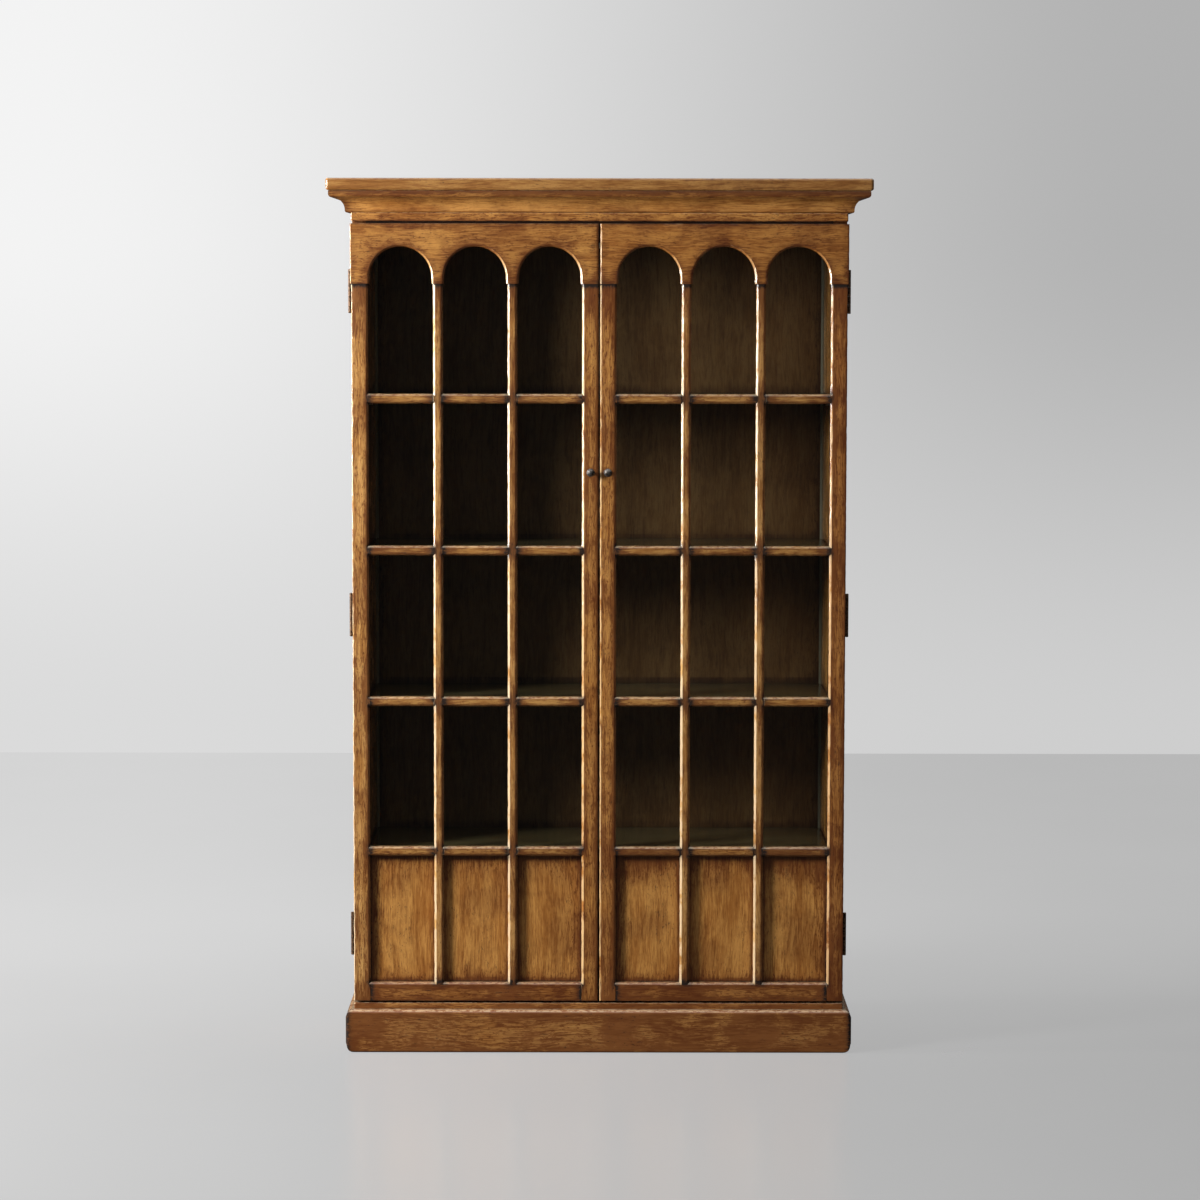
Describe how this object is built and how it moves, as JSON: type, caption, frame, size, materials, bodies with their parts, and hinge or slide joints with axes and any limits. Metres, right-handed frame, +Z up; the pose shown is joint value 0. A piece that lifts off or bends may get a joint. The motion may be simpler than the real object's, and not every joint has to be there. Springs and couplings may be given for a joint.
{
  "type": "display cabinet",
  "caption": "Tall two-door glazed timber display cabinet with round-arched lights, timber lower panels, inner shelves, moulded cornice and plain plinth.",
  "frame": {"origin": "on the floor, under the middle of the overall bounding box", "axes": "+X to the right seen from the front, +Y towards the back, +Z up"},
  "size_m": [1.302, 0.42, 2.108],
  "materials": {
    "door_timber": "worn wax",
    "case_timber": "worn wax",
    "base_timber": "worn wax",
    "shelf_timber": "dull wax",
    "inner_timber": "dull wax",
    "glass": "clear",
    "hinge_iron": "blackened",
    "knob_metal": "darkened",
    "fittings_steel": "dull"
  },
  "bodies": {
    "case": {"back_batten": "inner_timber", "back_corner_beads": "inner_timber", "back_foot_rail": "inner_timber", "back_panel_left": "inner_timber", "back_panel_right": "inner_timber", "bottom_board": "inner_timber", "case_hinge_leaves": "hinge_iron", "catch": "fittings_steel", "cornice_front": "case_timber", "cornice_left": "case_timber", "cornice_right": "case_timber", "cornice_slab": "case_timber", "frieze_band": "case_timber", "glue_blocks": "inner_timber", "head_rail": "inner_timber", "hinge_pins": "hinge_iron", "left_side": "case_timber", "plinth_front": "base_timber", "plinth_left": "base_timber", "plinth_right": "base_timber", "right_side": "case_timber", "shelf_1": "shelf_timber", "shelf_2": "shelf_timber", "shelf_3": "shelf_timber", "shelf_4": "shelf_timber", "shelf_pins": "fittings_steel", "sill_board": "base_timber", "top_board": "inner_timber", "upper_back_rail": "inner_timber", "upper_front_rail": "inner_timber"},
    "left_door": {"left_arch_rail": "door_timber", "left_bottom_rail": "door_timber", "left_cross_bars_1": "door_timber", "left_cross_bars_2": "door_timber", "left_cross_bars_3": "door_timber", "left_cross_bars_4": "door_timber", "left_glass": "glass", "left_glazing_beads": "door_timber", "left_hinge_leaves": "hinge_iron", "left_hinge_stile": "door_timber", "left_knob": "knob_metal", "left_meeting_stile": "door_timber", "left_panel": "door_timber", "left_strike_plate": "fittings_steel", "left_upright_bars": "door_timber"},
    "right_door": {"right_arch_rail": "door_timber", "right_bottom_rail": "door_timber", "right_cross_bars_1": "door_timber", "right_cross_bars_2": "door_timber", "right_cross_bars_3": "door_timber", "right_cross_bars_4": "door_timber", "right_glass": "glass", "right_glazing_beads": "door_timber", "right_hinge_leaves": "hinge_iron", "right_hinge_stile": "door_timber", "right_knob": "knob_metal", "right_meeting_stile": "door_timber", "right_panel": "door_timber", "right_strike_plate": "fittings_steel", "right_upright_bars": "door_timber"}
  },
  "joints": [
    {"name": "right_door_hinge", "type": "hinge", "parent": "case", "child": "right_door", "pos_m": [0.5976, -0.1525, 1.0624], "axis": [0, 0, 1], "range_deg": [0, 175]},
    {"name": "left_door_hinge", "type": "hinge", "parent": "case", "child": "left_door", "pos_m": [-0.5976, -0.1525, 1.0624], "axis": [0, 0, -1], "range_deg": [0, 175]}
  ]
}
